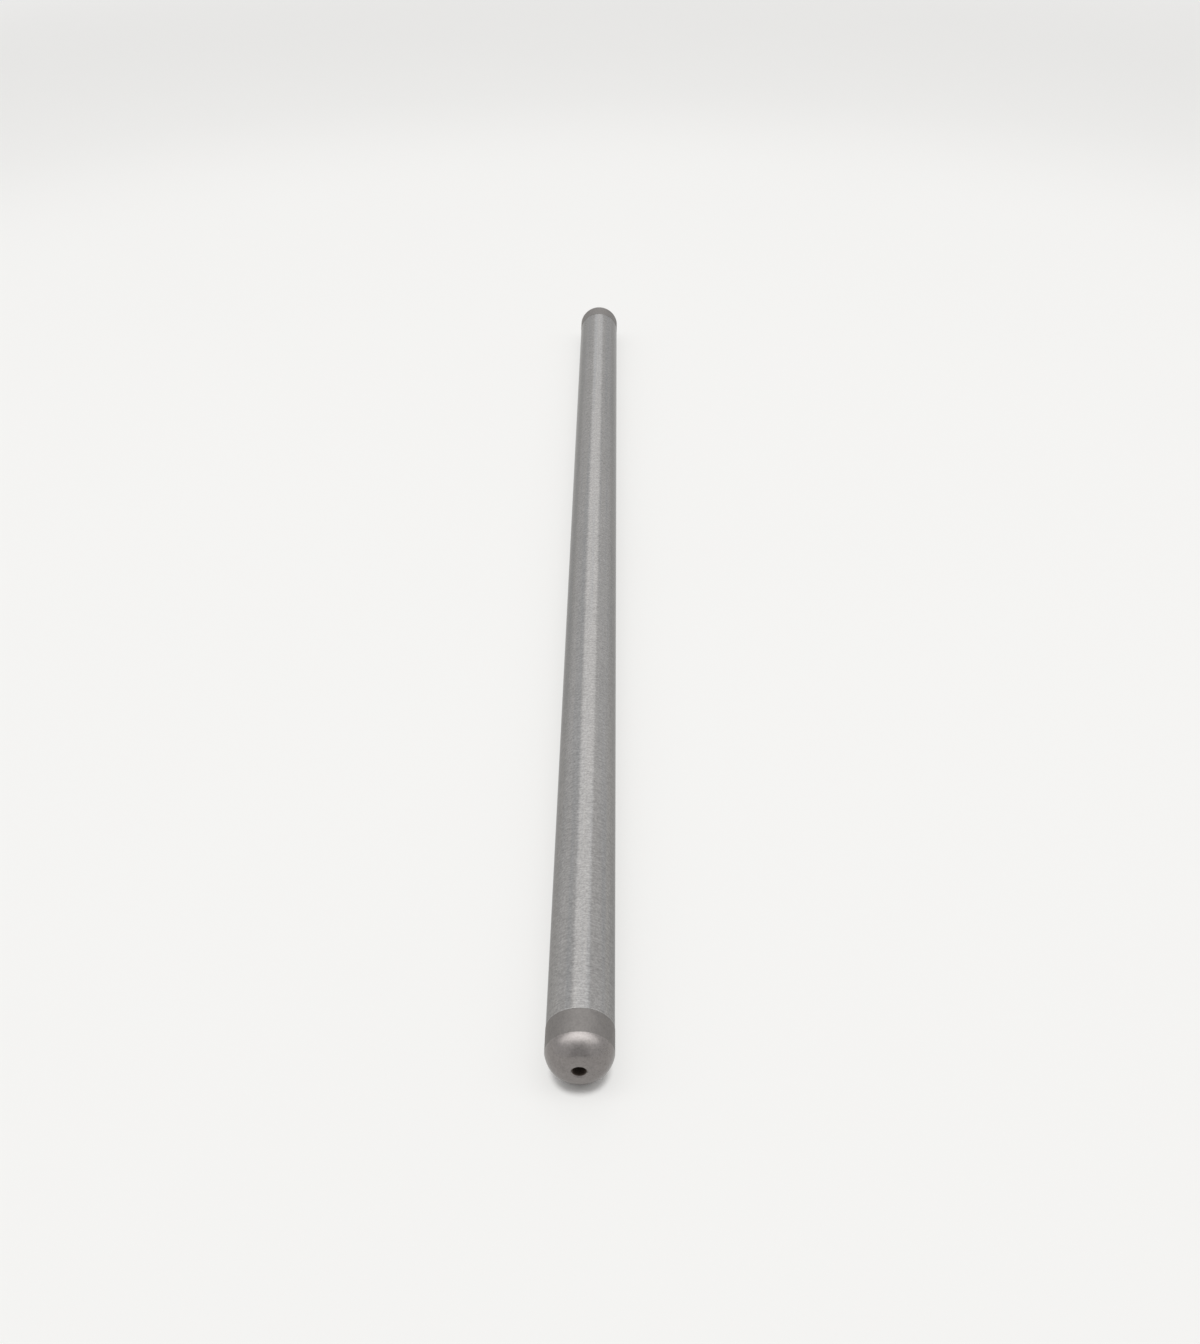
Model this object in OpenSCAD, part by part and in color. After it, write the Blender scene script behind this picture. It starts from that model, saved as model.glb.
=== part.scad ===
// Engine pushrod: a seamless tube with a pressed-in ball tip at each end, drilled right through for oil.
// The rod lies along Y with its middle at the origin, +Z up. The lifter tip is at -Y, the rocker tip at +Y.

/* [Rod] */
// Overall length, from one end flat to the other
rod_length = 198.1; // [150:0.1:260]

/* [Tube] */
// Outside diameter of the tube
tube_d = 7.74; // [7:0.02:9.5]
// Thickness of the tube wall
tube_wall = 1.65; // [1.2:0.05:2.1]
// Chamfer round the outside of each tube end
tube_chamfer = 0.1; // [0.05:0.01:0.3]

/* [Ball tips] */
// Diameter of the ball that turns in the lifter or rocker cup
ball_d = 7.94; // [7.5:0.01:9.6]
// Diameter of the ground band behind the ball
band_d = 7.8; // [7.2:0.01:9.6]
// Length of a tip outside the tube, from its end flat to the joint
tip_length = 5.6; // [5:0.1:10]
// Diameter of the flat on the end of the ball
flat_d = 3.2; // [2.6:0.1:3.8]
// Radius that blends the flat into the ball
flat_blend = 2; // [0.5:0.1:2.1]
// Chamfer round the joint end of the band
band_chamfer = 0.06; // [0.03:0.01:0.2]

/* [Shank] */
// Length of the shank pressed into the tube
shank_length = 7; // [4:0.5:14]
// Gap between the shank and the tube bore, on the radius
shank_clearance = 0.02; // [0.01:0.01:0.05]
// Lead-in chamfer at the inner end of the shank
shank_chamfer = 0.4; // [0.2:0.1:0.8]

/* [Oil hole] */
// Diameter of the oil hole through each tip
oil_hole_d = 1.5; // [0.8:0.1:2]
// Chamfer at the mouth of the oil hole
hole_chamfer = 0.2; // [0.1:0.05:0.3]

/* [Hidden] */
$fn = 96;
// Overrun of a cutting shape past the face that it cuts
overcut = 1;
tube_colour = "#9b9b9d";
tip_colour = "#8b8884";

tube_length = rod_length - 2 * tip_length;
tube_r = tube_d / 2;
bore_r = tube_r - tube_wall;
shank_r = bore_r - shank_clearance;
ball_r = ball_d / 2;
band_r = band_d / 2;
flat_r = flat_d / 2;
oil_hole_r = oil_hole_d / 2;
shank_end = tip_length + shank_length;

// Most of the room beside the flat that the blend arc takes, as it touches the flat and the ball
blend_share = 0.95;
blend_r = min(flat_blend, blend_share * (ball_r - flat_r));
// Depth of the ball's centre behind the flat
ball_depth = blend_r + sqrt((ball_r - blend_r) ^ 2 - flat_r ^ 2);
// Depth at which the blend arc meets the ball
blend_angle = atan2(flat_r, ball_depth - blend_r);
blend_depth = ball_depth - ball_r * cos(blend_angle);

// Half section of the tube wall, standing on the X axis
module tube_section() {
    polygon([
        [bore_r, 0],
        [tube_r - tube_chamfer, 0],
        [tube_r, tube_chamfer],
        [tube_r, tube_length - tube_chamfer],
        [tube_r - tube_chamfer, tube_length],
        [bore_r, tube_length]
    ]);
}

// Half section of the ball, hanging from the X axis: the ball's arc, the blend arc and the flat
module ball_section() {
    intersection() {
        translate([0, -ball_depth]) circle(r = ball_r);
        translate([0, -tip_length]) square([band_r, tip_length - blend_depth]);
    }
    intersection() {
        translate([flat_r, -blend_r]) circle(r = blend_r);
        translate([0, -ball_depth]) square([ball_r, ball_depth]);
    }
    translate([0, -ball_depth]) square([flat_r, ball_depth]);
}

// Half section of the band and the shank behind the ball
module shank_section() {
    polygon([
        [0, -shank_end],
        [shank_r - shank_chamfer, -shank_end],
        [shank_r, -shank_end + shank_chamfer],
        [shank_r, -tip_length],
        [band_r - band_chamfer, -tip_length],
        [band_r, -tip_length + band_chamfer],
        [band_r, -ball_depth],
        [0, -ball_depth]
    ]);
}

// One tip standing along Z with its end flat at the origin
module ball_tip() {
    difference() {
        rotate_extrude() {
            ball_section();
            shank_section();
        }
        translate([0, 0, -shank_end - overcut])
            cylinder(h = shank_end + 2 * overcut, r = oil_hole_r);
        translate([0, 0, -hole_chamfer])
            cylinder(h = hole_chamfer + overcut, r1 = oil_hole_r, r2 = oil_hole_r + hole_chamfer + overcut);
    }
}

module tube() {
    color(tube_colour)
        rotate([90, 0, 0])
            translate([0, 0, -tube_length / 2])
                rotate_extrude() tube_section();
}

module lifter_tip() {
    color(tip_colour)
        translate([0, -rod_length / 2, 0]) rotate([90, 0, 0]) ball_tip();
}

module rocker_tip() {
    color(tip_colour)
        translate([0, rod_length / 2, 0]) rotate([-90, 0, 0]) ball_tip();
}

tube();
lifter_tip();
rocker_tip();
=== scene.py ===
"""Looks of the engine pushrod: its tube, its two ball tips and the studio that they lie in."""

import math
from typing import NamedTuple

import bmesh
import bpy
from bpy.props import FloatProperty, FloatVectorProperty, IntProperty, PointerProperty
from mathutils import Matrix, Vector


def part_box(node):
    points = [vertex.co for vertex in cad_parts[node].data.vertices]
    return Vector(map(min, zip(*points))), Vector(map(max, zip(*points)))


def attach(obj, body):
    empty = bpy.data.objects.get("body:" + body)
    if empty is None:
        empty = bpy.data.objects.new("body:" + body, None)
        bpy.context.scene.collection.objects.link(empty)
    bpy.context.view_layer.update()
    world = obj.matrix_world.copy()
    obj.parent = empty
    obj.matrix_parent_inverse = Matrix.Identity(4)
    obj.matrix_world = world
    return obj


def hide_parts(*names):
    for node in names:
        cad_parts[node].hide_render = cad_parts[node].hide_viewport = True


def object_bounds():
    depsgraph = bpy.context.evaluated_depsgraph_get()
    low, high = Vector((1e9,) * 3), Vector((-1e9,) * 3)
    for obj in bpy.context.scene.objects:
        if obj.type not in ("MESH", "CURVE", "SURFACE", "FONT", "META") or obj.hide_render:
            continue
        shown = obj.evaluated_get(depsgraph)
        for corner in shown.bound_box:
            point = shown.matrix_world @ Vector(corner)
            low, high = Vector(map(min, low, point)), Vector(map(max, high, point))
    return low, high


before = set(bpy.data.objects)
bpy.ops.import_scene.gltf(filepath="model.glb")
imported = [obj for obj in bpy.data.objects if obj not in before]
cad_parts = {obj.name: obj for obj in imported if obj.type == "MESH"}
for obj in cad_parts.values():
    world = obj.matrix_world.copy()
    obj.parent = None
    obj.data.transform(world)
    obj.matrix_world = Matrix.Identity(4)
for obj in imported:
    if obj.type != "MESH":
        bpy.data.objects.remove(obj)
CAD_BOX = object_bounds()

bl_info = {
    "name": "Engine pushrod",
    "version": (1, 0, 0),
    "blender": (4, 5, 0),
    "location": "3D View > Sidebar > Pushrod",
    "description": "Models an engine pushrod with its ball tips, finishes and studio",
    "category": "Object",
}

MM = 0.001
WHITE = (1.0, 1.0, 1.0, 1.0)
ROD_AXIS = (0.0, 1.0, 0.0)
SECTION_AXIS = (1.0, 0.0, 0.0)
UP = (0.0, 0.0, 1.0)
ORIGIN = (0.0, 0.0, 0.0)
MERGE_DISTANCE = 1e-7
SHARP_ANGLE = math.radians(4.0)
QUARTER_TURN = math.radians(-90.0)
EDGE_STEPS = 24
PANEL_FILL = {"RECTANGLE": 1.0, "ELLIPSE": math.pi / 4.0}

TUBE_START, TUBE_END = (corner.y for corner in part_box("tube"))
ROD_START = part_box("lifter_tip")[0].y
ROD_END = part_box("rocker_tip")[1].y
FLOOR_LEVEL = CAD_BOX[0].z


class Marks(NamedTuple):
    """Marks in a finish: their noise, and how far they sway its shade, roughness and height."""

    width: float
    detail: float = 2.0
    crispness: float = 0.5
    stretch: tuple = ()
    shade: float = 0.0
    rough: float = 0.0
    height: float = 0.0


NOISE_MEAN = 0.5

# The tube's tumbled grain, the fine marks round it, its slow clouds and the draw lines along it
TUBE_GRAIN = Marks(0.3 * MM, 3.0, 0.65, shade=1.0, rough=0.12, height=0.7)
TUBE_RINGS = Marks(0.16 * MM, 2.0, 0.6, stretch=(0.12, 1.0, 0.12), shade=0.6, height=0.3)
TUBE_CLOUDS = Marks(14 * MM, shade=0.12, rough=0.06)
DRAW_LINES = Marks(0.9 * MM, 3.0, 0.6, stretch=(1.0, 0.012, 1.0))
DRAW_LINE_STEP = (0.42, 0.68)
TUBE_RELIEF = 0.004 * MM
# Distances from the end of the tube between which its wear comes in, and the roughness it adds
WORN_STEP = (0.2 * MM, 0.08 * MM)
WORN_ROUGHNESS = 0.25

# The tips' fine and coarse grain, their slow clouds and the grinding marks round the band
TIP_GRAIN = Marks(0.24 * MM, 3.0, 0.6, shade=0.6, rough=0.14, height=0.6)
TIP_COARSE = Marks(0.8 * MM, shade=0.2, height=0.3)
TIP_CLOUDS = Marks(4.0 * MM, shade=0.16, rough=0.1)
GRINDING = Marks(0.16 * MM, 2.0, 0.6, stretch=(0.05, 1.0, 0.05), height=0.5)
BAND_GRAIN_HEIGHT = 0.4
TIP_RELIEF = 0.006 * MM
# Distances past the crease between which the ball's finish gives way to the band's
CREASE_STEP = (-0.01 * MM, 0.03 * MM)
# Distances outside the hole's wall between which the hole's rough finish and its painted shade come in
HOLE_STEP = (0.12 * MM, 0.01 * MM)

FLOOR_CLOUDS = Marks(0.08, shade=0.01)
# Parts of a direction, along the rod and to the side, between which the room changes its brightness
FRONT_STEP = (-0.1, -0.4)
FRONT_SIDE_STEP = (0.56, 0.26)
WALL_STEP = (0.3, 1.0)
CAMERA_REACH = 100.0


def length(name, description, default):
    """A size in metres that the sidebar shows."""
    return FloatProperty(
        name=name,
        description=description,
        default=default,
        precision=5,
        unit="LENGTH",
        subtype="DISTANCE",
    )


def share(name, description, default):
    """A value from 0 to 1 that the sidebar shows."""
    return FloatProperty(
        name=name, description=description, default=default, min=0.0, max=1.0, subtype="FACTOR"
    )


def colour(name, description, default):
    """A colour that the sidebar shows."""
    return FloatVectorProperty(
        name=name, description=description, default=default, min=0.0, max=1.0, size=3, subtype="COLOR"
    )


def glow(name, description, default):
    """A brightness that the sidebar shows."""
    return FloatProperty(name=name, description=description, default=default, min=0.0)


class TubeSettings(bpy.types.PropertyGroup):
    """Sizes and finish of the tube."""

    outer_radius: length("Outer radius", "Radius of the outside of the tube", 3.87 * MM)
    bore_radius: length("Bore radius", "Radius of the oil passage", 2.22 * MM)
    end_edge: length("End edge", "Radius of the edge round each end of the tube", 0.1 * MM)
    steel: colour("Steel", "Colour of the satin tube", (0.328, 0.320, 0.3125))
    cool_steel: colour("Cool steel", "Colour of the faint cool draw lines", (0.2995, 0.2976, 0.2967))
    roughness: share("Roughness", "Roughness of the satin tube", 0.2)
    grazing: share("Grazing", "Share of the shine that is left at a grazing angle", 0.62)
    turns: IntProperty(name="Turns", description="Faces round the tube", default=192, min=24)


class TipSettings(bpy.types.PropertyGroup):
    """Sizes and finish of the ball tips."""

    ball_radius: length("Ball radius", "Radius of the ball", 3.97 * MM)
    band_radius: length("Band radius", "Radius of the ground band", 3.9 * MM)
    band_edge: length("Band edge", "Radius of the band's edge at the joint", 0.06 * MM)
    flat_radius: length("Flat radius", "Radius of the end flat", 1.6 * MM)
    blend_radius: length("Blend radius", "Radius that joins the flat to the ball", 2.0 * MM)
    hole_radius: length("Oil hole radius", "Radius of the oil hole", 0.75 * MM)
    hole_chamfer: length("Hole chamfer", "Chamfer at the mouth of the oil hole", 0.2 * MM)
    shank_radius: length("Shank radius", "Radius of the shank in the tube", 2.2 * MM)
    shank_length: length("Shank length", "Length of the shank in the tube", 7.0 * MM)
    shank_chamfer: length("Shank chamfer", "Lead-in chamfer of the shank", 0.4 * MM)
    ball_steel: colour("Ball steel", "Colour of the ball", (0.251, 0.234, 0.227))
    band_steel: colour("Band steel", "Colour of the matte ground band", (0.217, 0.206, 0.198))
    # The hole's colour is painted shade: a darker base colour that stands in for the shade inside the
    # oil hole
    painted_hole_shade: colour("Painted hole shade", "Painted shade inside the oil hole", (0.13, 0.105, 0.09))
    ball_roughness: share("Ball roughness", "Roughness of the ball", 0.3)
    band_roughness: share("Band roughness", "Roughness of the ground band", 0.62)
    bore_roughness: share("Bore roughness", "Roughness of the drilled hole", 0.9)
    grazing: share("Grazing", "Share of the shine that is left at a grazing angle", 1.0)
    turns: IntProperty(name="Turns", description="Faces round a tip", default=192, min=24)
    arc_steps: IntProperty(name="Arc steps", description="Faces along each arc", default=28, min=4)


class StageSettings(bpy.types.PropertyGroup):
    """Floor, light and camera."""

    floor_size: length("Floor size", "Width of the floor", 8.0)
    floor_white: colour("Floor", "Colour of the pale floor", (0.91, 0.905, 0.89))
    # The floor lift is painted light: a glow on the floor that washes out most of the rod's soft outer
    # shadow
    floor_lift: share("Floor lift", "Share of the soft outer shadow that the floor swallows", 0.68)
    lift_start: length("Lift start", "Distance from the contact where the shadow is whole", 2.8 * MM)
    lift_end: length("Lift end", "Distance from the contact where the shadow is faint", 3.8 * MM)
    bright_end: length("Bright end", "Distance from the middle at which the bright floor ends", 0.2)
    fade_start: length("Fade start", "Distance at which the floor starts to run into the room", 0.3)
    fade_end: length("Fade end", "Distance at which the floor is lost in the room", 0.75)
    panel_height: length("Panel height", "Height of the light panels", 0.6)
    back_width: length("Back width", "Width of the dimmer panel", 0.6)
    key_width: length("Key width", "Width of the bright panel", 2.3)
    core_width: length("Core width", "Width of the brighter core in it", 0.8)
    key_start: length("Key start", "Place along the rod where the bright panel starts", -0.255)
    core_start: length("Core start", "Place along the rod where its core starts", -0.205)
    key_end: length("Key end", "Place along the rod where the bright panel meets the dimmer one", 0.09)
    back_end: length("Back end", "Place behind the rod where the dimmer panel ends", 4.0)
    key_glow: glow("Key glow", "Brightness of the bright panel, where 1 is white", 1.45)
    core_drop: length("Core drop", "Distance that the core hangs below the bright panel", 0.01)
    core_glow: glow("Core glow", "Brightness that its core adds, where 1 is white", 0.8)
    back_glow: glow("Back glow", "Brightness of the dimmer panel, where 1 is white", 0.48)
    room_glow: glow("Room", "Brightness of the pale room that the metal shows", 0.86)
    wall_glow: glow("Wall", "Brightness of that room beyond the far tip", 1.02)
    front_glow: glow("Front", "Brightness of that room behind the camera", 0.58)
    soft_glow: glow("Soft light", "Brightness of the soft light from all sides", 0.48)
    camera_place: FloatVectorProperty(
        name="Camera place",
        description="Where the camera stands",
        default=(4.235 * MM, -189.878 * MM, 125.399 * MM),
        precision=5,
        unit="LENGTH",
        subtype="TRANSLATION",
    )
    camera_turn: FloatVectorProperty(
        name="Camera turn",
        description="How the camera is turned",
        default=(math.radians(52.169), math.radians(0.466), math.radians(0.604)),
        unit="ROTATION",
        subtype="EULER",
    )
    lens: FloatProperty(name="Lens", description="Focal length in millimetres", default=36.806, min=1.0)


class Wire:
    """A value that runs through a node tree: arithmetic on it adds Math nodes."""

    def __init__(self, board, socket):
        self.board = board
        self.socket = socket

    def sibling(self, output):
        """Another output of the node that this value comes from."""
        return Wire(self.board, self.socket.node.outputs[output])

    def calculate(self, operation, *operands):
        """Add a Math node that works on the operands in their order."""
        return self.board.node("ShaderNodeMath", {"operation": operation}, dict(enumerate(operands)))

    def __add__(self, other):
        return self.calculate("ADD", self, other)

    def __radd__(self, other):
        return self.calculate("ADD", other, self)

    def __sub__(self, other):
        return self.calculate("SUBTRACT", self, other)

    def __rsub__(self, other):
        return self.calculate("SUBTRACT", other, self)

    def __mul__(self, other):
        return self.calculate("MULTIPLY", self, other)

    def __rmul__(self, other):
        return self.calculate("MULTIPLY", other, self)

    def __truediv__(self, other):
        return self.calculate("DIVIDE", self, other)

    def __pow__(self, other):
        return self.calculate("POWER", self, other)

    def __abs__(self):
        return self.calculate("ABSOLUTE", self)

    def at_least(self, other):
        """The larger of this value and another."""
        return self.calculate("MAXIMUM", self, other)


class Board:
    """A node tree that is being wired."""

    def __init__(self, tree):
        self.tree = tree
        tree.nodes.clear()

    @staticmethod
    def pick(sockets, key):
        """Find a socket by its number, its identifier or its name."""
        if isinstance(key, int):
            return sockets[key]
        for socket in sockets:
            if socket.identifier == key:
                return socket
        return sockets[key]

    def node(self, kind, settings=None, inputs=None, output=0):
        """Add a node with its settings, then its values and links, and give one of its outputs."""
        made = self.tree.nodes.new(kind)
        for name, value in (settings or {}).items():
            setattr(made, name, value)
        for key, value in (inputs or {}).items():
            socket = self.pick(made.inputs, key)
            if isinstance(value, Wire):
                self.tree.links.new(value.socket, socket)
            else:
                socket.default_value = value
        if not made.outputs:
            return None
        return Wire(self, self.pick(made.outputs, output))

    def coordinates(self):
        """Places on the piece, in metres."""
        return self.node("ShaderNodeTexCoord", output="Object")

    def noise(self, place, marks):
        """Soft noise from 0 to 1 whose patches are about as wide as the marks."""
        if marks.stretch:
            place = self.node("ShaderNodeMapping", inputs={"Vector": place, "Scale": marks.stretch})
        inputs = {
            "Vector": place,
            "Scale": 1.0 / marks.width,
            "Detail": marks.detail,
            "Roughness": marks.crispness,
        }
        return self.node("ShaderNodeTexNoise", inputs=inputs)

    def step(self, value, low, high):
        """A smooth step from 0 at low to 1 at high."""
        settings = {"interpolation_type": "SMOOTHSTEP", "clamp": True}
        inputs = {"Value": value, "From Min": low, "From Max": high}
        return self.node("ShaderNodeMapRange", settings, inputs)

    def blend(self, factor, first, second):
        """Mix two colours."""
        inputs = {"Factor_Float": factor, "A_Color": first, "B_Color": second}
        return self.node("ShaderNodeMix", {"data_type": "RGBA"}, inputs, "Result_Color")

    def shade(self, tint, amount):
        """Multiply a colour by a value."""
        grey = self.node("ShaderNodeCombineColor", inputs={0: amount, 1: amount, 2: amount})
        settings = {"data_type": "RGBA", "blend_type": "MULTIPLY"}
        inputs = {"Factor_Float": 1.0, "A_Color": tint, "B_Color": grey}
        return self.node("ShaderNodeMix", settings, inputs, "Result_Color")

    def seen(self):
        """1 for what the camera sees, also in a reflection, and 0 for what lights a dull surface."""
        ray = self.node("ShaderNodeLightPath")
        mirrored = ray.sibling("Is Glossy Ray")
        return ray.sibling("Is Camera Ray") + mirrored + ray.sibling("Is Transmission Ray")

    def relief(self, height, depth):
        """A normal that follows a height from 0 to 1 over a depth in metres."""
        inputs = {"Height": height, "Distance": depth, "Strength": 1.0}
        return self.node("ShaderNodeBump", inputs=inputs, output="Normal")


def rgba(tint):
    """A colour with full alpha."""
    return (*tint, 1.0)


def diagonal(first, second):
    """Length of the diagonal over two lengths at right angles."""
    return (first * first + second * second) ** 0.5


def swayed(start, *sways):
    """A value that marks push up and down: each sway is how far, and the noise that does it."""
    for amount, noise in sways:
        start = start + amount * (noise - NOISE_MEAN)
    return start


def finish_steel(board, base, roughness, normal, grazing):
    """Close a material as bare steel, with the share of its shine that is left at a grazing angle."""
    inputs = {
        "Base Color": base,
        "Roughness": roughness,
        "Metallic": 1.0,
        "Normal": normal,
        "Specular Tint": (grazing, grazing, grazing, 1.0),
    }
    shader = board.node("ShaderNodeBsdfPrincipled", inputs=inputs)
    board.node("ShaderNodeOutputMaterial", inputs={"Surface": shader})


def new_finish(name):
    """A new material and its board."""
    material = bpy.data.materials.new(name)
    material.use_nodes = True
    return material, Board(material.node_tree)


def satin_tube_finish(tube):
    """Satin steel with a tumbled grain, fine marks round the tube and faint draw lines along it."""
    material, board = new_finish("satin_tube_steel")
    place = board.coordinates()
    grain = board.noise(place, TUBE_GRAIN)
    rings = board.noise(place, TUBE_RINGS)
    clouds = board.noise(place, TUBE_CLOUDS)
    lines = board.noise(place, DRAW_LINES)
    drawn = board.step(lines, *DRAW_LINE_STEP)
    tint = board.blend(drawn, rgba(tube.steel), rgba(tube.cool_steel))
    light = swayed(
        1.0,
        (TUBE_GRAIN.shade, grain),
        (TUBE_RINGS.shade, rings),
        (TUBE_CLOUDS.shade, clouds),
    )
    base = board.shade(tint, light)
    along = board.node("ShaderNodeSeparateXYZ", inputs={"Vector": place}, output="Y")
    worn = board.step(TUBE_END - abs(along), *WORN_STEP)
    rough = swayed(tube.roughness, (TUBE_GRAIN.rough, grain), (TUBE_CLOUDS.rough, clouds))
    rough = rough + WORN_ROUGHNESS * worn
    height = TUBE_GRAIN.height * grain + TUBE_RINGS.height * rings
    finish_steel(board, base, rough, board.relief(height, TUBE_RELIEF), tube.grazing)
    return material


def tip_finish(tip):
    """Hardened steel: a fine-grained ball, a matte ground band and a hole whose base colour carries
    painted shade.
    """
    material, board = new_finish("hardened_tip_steel")
    place = board.coordinates()
    across = board.node("ShaderNodeSeparateXYZ", inputs={"Vector": place})
    radius = diagonal(across, across.sibling("Z"))
    depth = ROD_END - abs(across.sibling("Y"))
    crease = crease_depth(tip)
    on_band = board.step(depth, *(crease + past for past in CREASE_STEP))
    in_hole = board.step(radius, *(tip.hole_radius + outside for outside in HOLE_STEP))
    grain = board.noise(place, TIP_GRAIN)
    coarse = board.noise(place, TIP_COARSE)
    clouds = board.noise(place, TIP_CLOUDS)
    grinding = board.noise(place, GRINDING)
    tint = board.blend(on_band, rgba(tip.ball_steel), rgba(tip.band_steel))
    light = swayed(
        1.0,
        (TIP_GRAIN.shade, grain),
        (TIP_COARSE.shade, coarse),
        (TIP_CLOUDS.shade, clouds),
    )
    # Painted shade: inside the hole the base colour gives way to the darker colour that stands in for
    # its shade
    base = board.blend(in_hole, board.shade(tint, light), rgba(tip.painted_hole_shade))
    rough = tip.ball_roughness + (tip.band_roughness - tip.ball_roughness) * on_band
    rough = rough + (tip.bore_roughness - rough) * in_hole
    rough = swayed(rough, (TIP_GRAIN.rough, grain), (TIP_CLOUDS.rough, clouds))
    ball_height = TIP_GRAIN.height * grain + TIP_COARSE.height * coarse
    band_height = GRINDING.height * grinding + BAND_GRAIN_HEIGHT * grain
    height = ball_height * (1.0 - on_band) + band_height * on_band
    finish_steel(board, base, rough, board.relief(height, TIP_RELIEF), tip.grazing)
    return material


def blend_angle(tip):
    """Angle from the rod's axis at which the blend arc meets the ball."""
    return math.asin(tip.flat_radius / (tip.ball_radius - tip.blend_radius))


def ball_depth(tip):
    """Depth of the ball's centre behind the end flat."""
    return tip.blend_radius + (tip.ball_radius - tip.blend_radius) * math.cos(blend_angle(tip))


def crease_angle(tip):
    """Angle from the rod's axis at which the band cuts the ball."""
    return math.asin(tip.band_radius / tip.ball_radius)


def crease_depth(tip):
    """Depth of the crease behind the end flat."""
    return ball_depth(tip) - tip.ball_radius * math.cos(crease_angle(tip))


def chain(mesh, start, places):
    """Draw straight edges from a vertex through places given as (along the rod, radius)."""
    last = start
    for along, radius in places:
        corner = mesh.verts.new((0.0, along, radius))
        mesh.edges.new((last, corner))
        last = corner
    return last


def sweep(mesh, start, centre, angle, steps):
    """Draw an arc by turning a vertex about a centre given as (along the rod, radius)."""
    turned = bmesh.ops.spin(
        mesh,
        geom=[start],
        cent=(0.0, *centre),
        axis=SECTION_AXIS,
        dvec=ORIGIN,
        angle=angle,
        steps=steps,
        use_merge=False,
        use_normal_flip=False,
        use_duplicate=False,
    )
    return next(part for part in turned["geom_last"] if isinstance(part, bmesh.types.BMVert))


def turn_section(mesh, turns):
    """Spin the drawn section right round the rod's axis and close it."""
    bmesh.ops.spin(
        mesh,
        geom=mesh.verts[:] + mesh.edges[:],
        cent=ORIGIN,
        axis=ROD_AXIS,
        dvec=ORIGIN,
        angle=2.0 * math.pi,
        steps=turns,
        use_merge=True,
        use_normal_flip=False,
        use_duplicate=False,
    )
    bmesh.ops.remove_doubles(mesh, verts=mesh.verts[:], dist=MERGE_DISTANCE)
    bmesh.ops.recalc_face_normals(mesh, faces=mesh.faces[:])
    for face in mesh.faces:
        face.smooth = True


def add_piece(name, mesh, material, node):
    """Make the piece from its mesh and put it in place of its CAD node."""
    data = bpy.data.meshes.new(name)
    mesh.to_mesh(data)
    mesh.free()
    data.set_sharp_from_angle(angle=SHARP_ANGLE)
    data.materials.append(material)
    piece = bpy.data.objects.new(name, data)
    bpy.context.scene.collection.objects.link(piece)
    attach(piece, "root")
    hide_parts(node)


class PUSHROD_OT_tube(bpy.types.Operator):
    """Turn the tube with its bore and rounded ends"""

    bl_idname = "pushrod.tube"
    bl_label = "Tube"

    def execute(self, context):
        tube = context.scene.pushrod_tube
        mesh = bmesh.new()
        edge = tube.end_edge
        shoulder = tube.outer_radius - edge
        first = mesh.verts.new((0.0, TUBE_START, tube.bore_radius))
        near_face = chain(mesh, first, [(TUBE_START, shoulder)])
        near_edge = sweep(mesh, near_face, (TUBE_START + edge, shoulder), QUARTER_TURN, EDGE_STEPS)
        far_edge = chain(mesh, near_edge, [(TUBE_END - edge, tube.outer_radius)])
        far_face = sweep(mesh, far_edge, (TUBE_END - edge, shoulder), QUARTER_TURN, EDGE_STEPS)
        last = chain(mesh, far_face, [(TUBE_END, tube.bore_radius)])
        mesh.edges.new((last, first))
        turn_section(mesh, tube.turns)
        add_piece("satin_tube", mesh, satin_tube_finish(tube), "tube")
        return {"FINISHED"}


class PUSHROD_OT_tips(bpy.types.Operator):
    """Turn the two ball tips with their flats, bands, shanks and oil holes"""

    bl_idname = "pushrod.tips"
    bl_label = "Ball tips"

    def turned_tip(self, tip):
        """The mesh of the lifter tip, with its flat at the start of the rod."""
        mesh = bmesh.new()
        flat = ROD_START
        shank_end = TUBE_START + tip.shank_length
        mouth = mesh.verts.new((0.0, flat, tip.hole_radius + tip.hole_chamfer))
        flat_edge = chain(mesh, mouth, [(flat, tip.flat_radius)])
        blend_centre = (flat + tip.blend_radius, tip.flat_radius)
        blend_end = sweep(mesh, flat_edge, blend_centre, -blend_angle(tip), tip.arc_steps)
        ball_centre = (flat + ball_depth(tip), 0.0)
        ball_sweep = blend_angle(tip) - crease_angle(tip)
        crease = sweep(mesh, blend_end, ball_centre, ball_sweep, tip.arc_steps)
        band_end = chain(mesh, crease, [(TUBE_START - tip.band_edge, tip.band_radius)])
        edge_centre = (TUBE_START - tip.band_edge, tip.band_radius - tip.band_edge)
        shoulder = sweep(mesh, band_end, edge_centre, QUARTER_TURN, EDGE_STEPS)
        last = chain(
            mesh,
            shoulder,
            [
                (TUBE_START, tip.shank_radius),
                (shank_end - tip.shank_chamfer, tip.shank_radius),
                (shank_end, tip.shank_radius - tip.shank_chamfer),
                (shank_end, tip.hole_radius),
                (flat + tip.hole_chamfer, tip.hole_radius),
            ],
        )
        mesh.edges.new((last, mouth))
        turn_section(mesh, tip.turns)
        return mesh

    def execute(self, context):
        tip = context.scene.pushrod_tip
        material = tip_finish(tip)
        add_piece("lifter_ball_tip", self.turned_tip(tip), material, "lifter_tip")
        rocker = self.turned_tip(tip)
        half_turn = Matrix.Rotation(math.pi, 3, UP)
        bmesh.ops.rotate(rocker, cent=ORIGIN, matrix=half_turn, verts=rocker.verts[:])
        add_piece("rocker_ball_tip", rocker, material, "rocker_tip")
        return {"FINISHED"}


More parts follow.
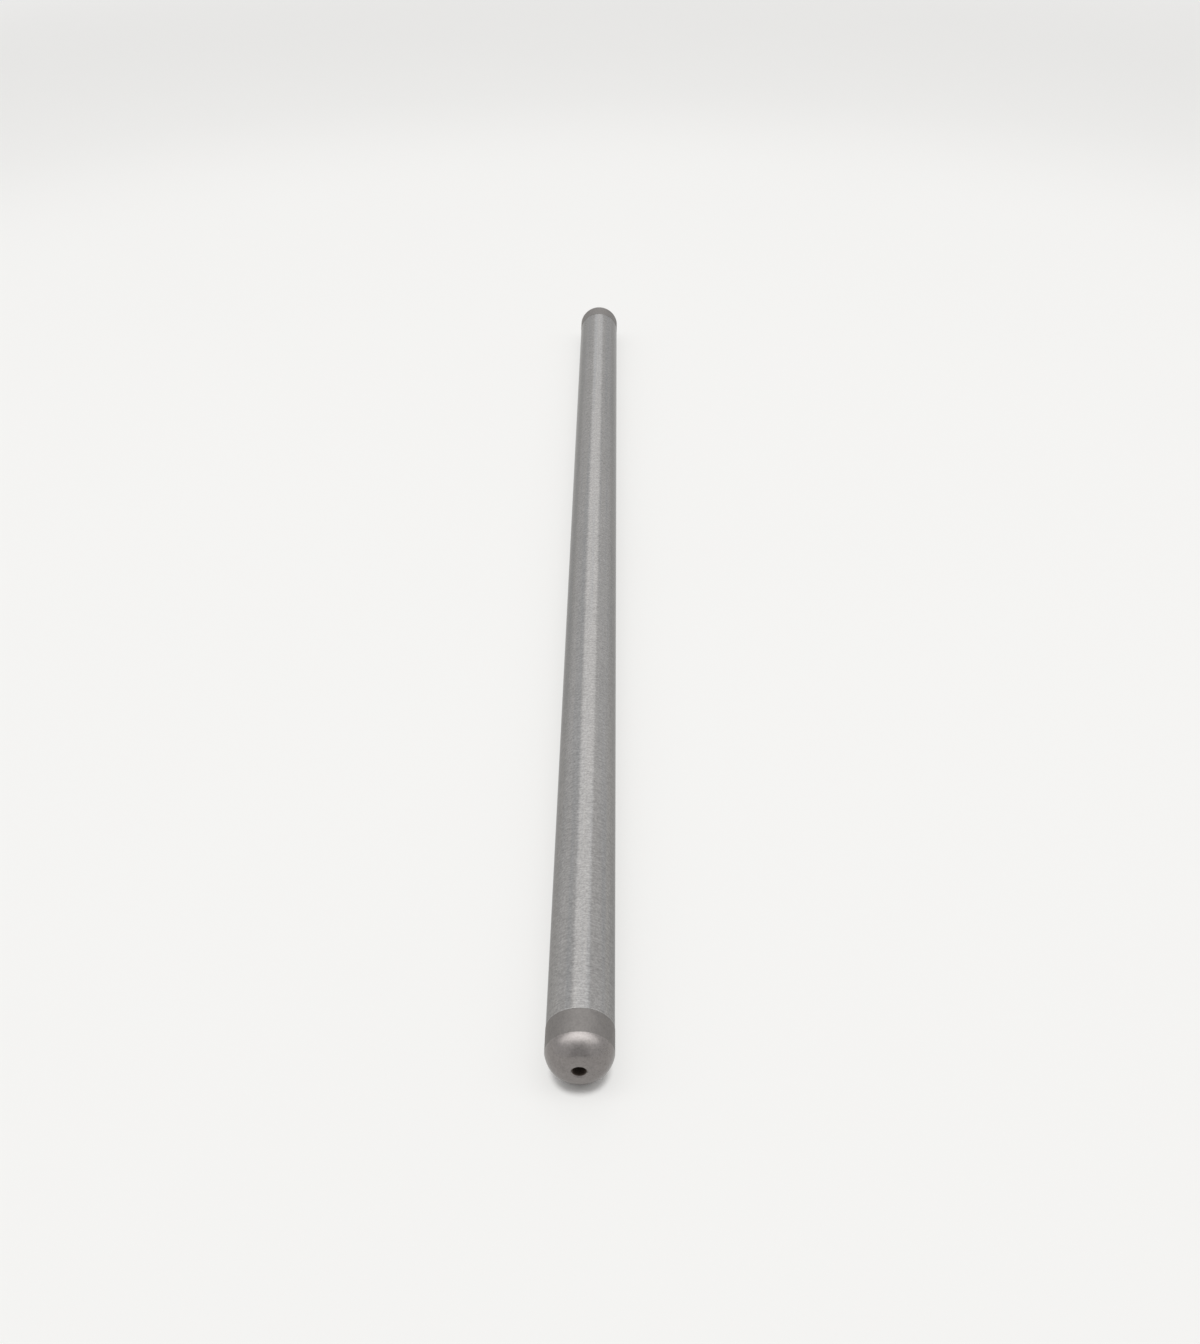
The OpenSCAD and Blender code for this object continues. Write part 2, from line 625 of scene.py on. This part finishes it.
class PUSHROD_OT_stage(bpy.types.Operator):
    """Lay the pale floor and set the soft light and the camera"""

    bl_idname = "pushrod.stage"
    bl_label = "Studio"

    def room(self, board, stage, aside, onward):
        """Brightness of the pale room in a direction: more beyond the rod, less behind the camera."""
        front = board.step(onward, *FRONT_STEP) * board.step(abs(aside), *FRONT_SIDE_STEP)
        wall = board.step(onward, *WALL_STEP)
        strength = stage.room_glow + (stage.front_glow - stage.room_glow) * front
        return strength + (stage.wall_glow - stage.room_glow) * wall

    def lay_floor(self, stage, tip):
        """A pale floor under the rod that runs into the pale room far away, with painted light over the
        outer part of the rod's shadow.
        """
        mesh = bmesh.new()
        bmesh.ops.create_grid(mesh, x_segments=1, y_segments=1, size=stage.floor_size / 2)
        bmesh.ops.translate(mesh, vec=(0.0, 0.0, FLOOR_LEVEL), verts=mesh.verts[:])
        data = bpy.data.meshes.new("pale_floor")
        mesh.to_mesh(data)
        mesh.free()
        material, board = new_finish("pale_floor_paper")
        place = board.coordinates()
        clouds = board.noise(place, FLOOR_CLOUDS)
        tint = board.shade(rgba(stage.floor_white), swayed(1.0, (FLOOR_CLOUDS.shade, clouds)))
        paper = board.node("ShaderNodeBsdfDiffuse", inputs={"Color": tint})
        across = board.node("ShaderNodeSeparateXYZ", inputs={"Vector": place})
        onward = across.sibling("Y")
        distance = diagonal(across, onward)
        strength = self.room(board, stage, across / distance, onward / distance)
        fade = board.step(distance, stage.fade_start, stage.fade_end)
        glow_tint = board.blend(fade, tint, board.shade(WHITE, strength))
        backdrop = board.node("ShaderNodeEmission", inputs={"Color": glow_tint})
        # Painted light: away from the contact the floor glows for the camera and the metal, washing out
        # most of the rod's outer shadow and leaving its dark core
        past_ball = (abs(onward) - ROD_END + ball_depth(tip)).at_least(0.0)
        from_contact = diagonal(across, past_ball)
        lift = stage.floor_lift * board.step(from_contact, stage.lift_start, stage.lift_end)
        lift = lift * board.step(distance, stage.fade_start, stage.bright_end)
        share_seen = board.seen() * (lift + (1.0 - lift) * fade)
        shader = board.node("ShaderNodeMixShader", inputs={0: share_seen, 1: paper, 2: backdrop})
        board.node("ShaderNodeOutputMaterial", inputs={"Surface": shader})
        data.materials.append(material)
        floor = bpy.data.objects.new("pale_floor", data)
        bpy.context.scene.collection.objects.link(floor)

    def hang_panel(self, name, shape, height, width, start, end, brightness):
        """A soft light panel over the rod, from start to end along it."""
        panel = bpy.data.lights.new(name, "AREA")
        panel.shape = shape
        panel.size = width
        panel.size_y = end - start
        panel.energy = brightness * math.pi * panel.size * panel.size_y * PANEL_FILL[shape]
        holder = bpy.data.objects.new(name, panel)
        holder.location = (0.0, (start + end) / 2, height)
        bpy.context.scene.collection.objects.link(holder)

    def light_room(self, stage):
        """A pale room for the camera and the metal to see, and a soft light from all sides."""
        world = bpy.data.worlds.new("pale_room")
        world.use_nodes = True
        board = Board(world.node_tree)
        heading = board.node("ShaderNodeTexCoord", output="Generated")
        parts = board.node("ShaderNodeSeparateXYZ", inputs={"Vector": heading})
        strength = self.room(board, stage, parts.sibling("X"), parts.sibling("Y"))
        room = board.node("ShaderNodeBackground", inputs={"Color": WHITE, "Strength": strength})
        soft = board.node("ShaderNodeBackground", inputs={"Color": WHITE, "Strength": stage.soft_glow})
        mixed = board.node("ShaderNodeMixShader", inputs={0: board.seen(), 1: soft, 2: room})
        board.node("ShaderNodeOutputWorld", inputs={"Surface": mixed})
        world.cycles.sampling_method = "NONE"
        bpy.context.scene.world = world

    def place_camera(self, stage):
        """The camera above the near tip."""
        lens = bpy.data.cameras.new("camera")
        lens.lens = stage.lens
        lens.clip_start = MM
        lens.clip_end = CAMERA_REACH
        camera = bpy.data.objects.new("camera", lens)
        camera.location = stage.camera_place
        camera.rotation_euler = stage.camera_turn
        bpy.context.scene.collection.objects.link(camera)
        bpy.context.scene.camera = camera

    def execute(self, context):
        stage = context.scene.pushrod_stage
        self.lay_floor(stage, context.scene.pushrod_tip)
        height = stage.panel_height
        core_height = height - stage.core_drop
        key = (height, stage.key_width, stage.key_start, stage.key_end, stage.key_glow)
        core = (core_height, stage.core_width, stage.core_start, stage.key_end, stage.core_glow)
        back = (height, stage.back_width, stage.key_end, stage.back_end, stage.back_glow)
        self.hang_panel("key_panel", "ELLIPSE", *key)
        self.hang_panel("key_core", "ELLIPSE", *core)
        self.hang_panel("back_panel", "RECTANGLE", *back)
        self.light_room(stage)
        self.place_camera(stage)
        context.scene.view_settings.view_transform = "Standard"
        return {"FINISHED"}


class PUSHROD_PT_sidebar(bpy.types.Panel):
    """The pushrod's sizes, finishes and operators"""

    bl_label = "Pushrod"
    bl_idname = "PUSHROD_PT_sidebar"
    bl_space_type = "VIEW_3D"
    bl_region_type = "UI"
    bl_category = "Pushrod"

    def draw(self, context):
        for operator, settings in (
            (PUSHROD_OT_tube, context.scene.pushrod_tube),
            (PUSHROD_OT_tips, context.scene.pushrod_tip),
            (PUSHROD_OT_stage, context.scene.pushrod_stage),
        ):
            box = self.layout.box()
            box.operator(operator.bl_idname)
            for name in settings.__annotations__:
                box.prop(settings, name)


CLASSES = (
    TubeSettings,
    TipSettings,
    StageSettings,
    PUSHROD_OT_tube,
    PUSHROD_OT_tips,
    PUSHROD_OT_stage,
    PUSHROD_PT_sidebar,
)


def register():
    """Register the classes and hang their settings on the scene."""
    for piece in CLASSES:
        bpy.utils.register_class(piece)
    bpy.types.Scene.pushrod_tube = PointerProperty(type=TubeSettings)
    bpy.types.Scene.pushrod_tip = PointerProperty(type=TipSettings)
    bpy.types.Scene.pushrod_stage = PointerProperty(type=StageSettings)


def unregister():
    """Take the settings and classes away again."""
    del bpy.types.Scene.pushrod_stage
    del bpy.types.Scene.pushrod_tip
    del bpy.types.Scene.pushrod_tube
    for piece in reversed(CLASSES):
        bpy.utils.unregister_class(piece)


def main():
    """Make every piece: the tube, the two tips and the studio."""
    register()
    bpy.ops.pushrod.tube()
    bpy.ops.pushrod.tips()
    bpy.ops.pushrod.stage()


if __name__ == "__main__":
    main()
